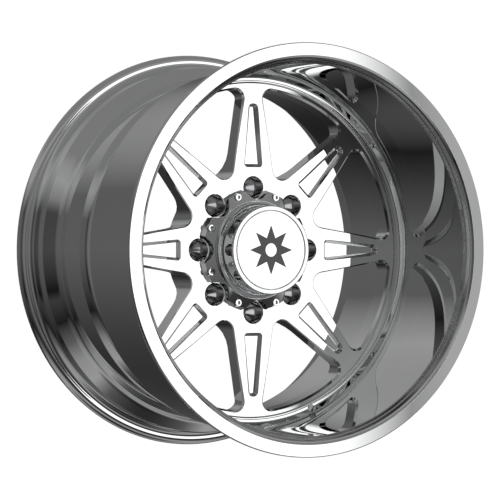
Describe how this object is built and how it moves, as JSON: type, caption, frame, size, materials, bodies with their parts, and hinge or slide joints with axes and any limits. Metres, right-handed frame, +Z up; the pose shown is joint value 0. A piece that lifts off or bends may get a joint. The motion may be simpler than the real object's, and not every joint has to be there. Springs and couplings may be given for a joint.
{
  "type": "forged wheel rim",
  "caption": "Polished deep-lip forged truck wheel with tapered pocketed spokes, rimmed windows, a drop-well barrel and a tall bolt-on centre cap.",
  "frame": {"origin": "centre of the hub bore on the mounting-pad face", "axes": "+Y along the axle, inboard towards the vehicle; the outboard face looks towards -Y; +Z up; +X to the right as seen from outboard"},
  "size_m": [0.5477, 0.3293, 0.5478],
  "materials": {
    "disc_polish": "mirror polished forging with machined spoke pockets",
    "barrel_polish": "mirror polished, fine turning lines",
    "weld_polish": "polished weld fillet",
    "weld_satin": "rippled weld bead, satin",
    "cap_ring_chrome": "bright plated",
    "cap_chrome": "bright plated",
    "cap_bezel_polish": "bright plated",
    "cap_face_polish": "mirror polished",
    "emblem_enamel": "dark grey enamel",
    "retaining_steel": "phosphated spring steel",
    "seal_rubber": "matt black nitrile",
    "screw_chrome": "bright plated"
  },
  "bodies": {
    "wheel": {"forged_disc": "disc_polish", "rim_barrel": "barrel_polish", "front_weld": "weld_polish", "rear_weld": "weld_satin"},
    "centre_cap": {"cap_ring": "cap_ring_chrome", "cap_shell": "cap_chrome", "cap_bezel": "cap_bezel_polish", "cap_face": "cap_face_polish", "cap_emblem": "emblem_enamel", "cap_snap_ring": "retaining_steel", "cap_seal": "seal_rubber"},
    "screw_1": {"cap_screw_1": "screw_chrome"},
    "screw_2": {"cap_screw_2": "screw_chrome"},
    "screw_3": {"cap_screw_3": "screw_chrome"},
    "screw_4": {"cap_screw_4": "screw_chrome"},
    "screw_5": {"cap_screw_5": "screw_chrome"},
    "screw_6": {"cap_screw_6": "screw_chrome"},
    "screw_7": {"cap_screw_7": "screw_chrome"},
    "screw_8": {"cap_screw_8": "screw_chrome"}
  },
  "joints": [
    {"name": "cap_pull", "type": "slide", "parent": "wheel", "child": "centre_cap", "axis": [0, -1, 0], "range_m": [0, 0.06]},
    {"name": "cap_screw_1_turn", "type": "hinge", "parent": "centre_cap", "child": "screw_1", "pos_m": [0.07142, -0.0534, 0.02958], "axis": [0, -1, 0], "continuous": true},
    {"name": "cap_screw_2_turn", "type": "hinge", "parent": "centre_cap", "child": "screw_2", "pos_m": [0.02958, -0.0534, 0.07142], "axis": [0, -1, 0], "continuous": true},
    {"name": "cap_screw_3_turn", "type": "hinge", "parent": "centre_cap", "child": "screw_3", "pos_m": [-0.02958, -0.0534, 0.07142], "axis": [0, -1, 0], "continuous": true},
    {"name": "cap_screw_4_turn", "type": "hinge", "parent": "centre_cap", "child": "screw_4", "pos_m": [-0.07142, -0.0534, 0.02958], "axis": [0, -1, 0], "continuous": true},
    {"name": "cap_screw_5_turn", "type": "hinge", "parent": "centre_cap", "child": "screw_5", "pos_m": [-0.07142, -0.0534, -0.02958], "axis": [0, -1, 0], "continuous": true},
    {"name": "cap_screw_6_turn", "type": "hinge", "parent": "centre_cap", "child": "screw_6", "pos_m": [-0.02958, -0.0534, -0.07142], "axis": [0, -1, 0], "continuous": true},
    {"name": "cap_screw_7_turn", "type": "hinge", "parent": "centre_cap", "child": "screw_7", "pos_m": [0.02958, -0.0534, -0.07142], "axis": [0, -1, 0], "continuous": true},
    {"name": "cap_screw_8_turn", "type": "hinge", "parent": "centre_cap", "child": "screw_8", "pos_m": [0.07142, -0.0534, -0.02958], "axis": [0, -1, 0], "continuous": true}
  ]
}
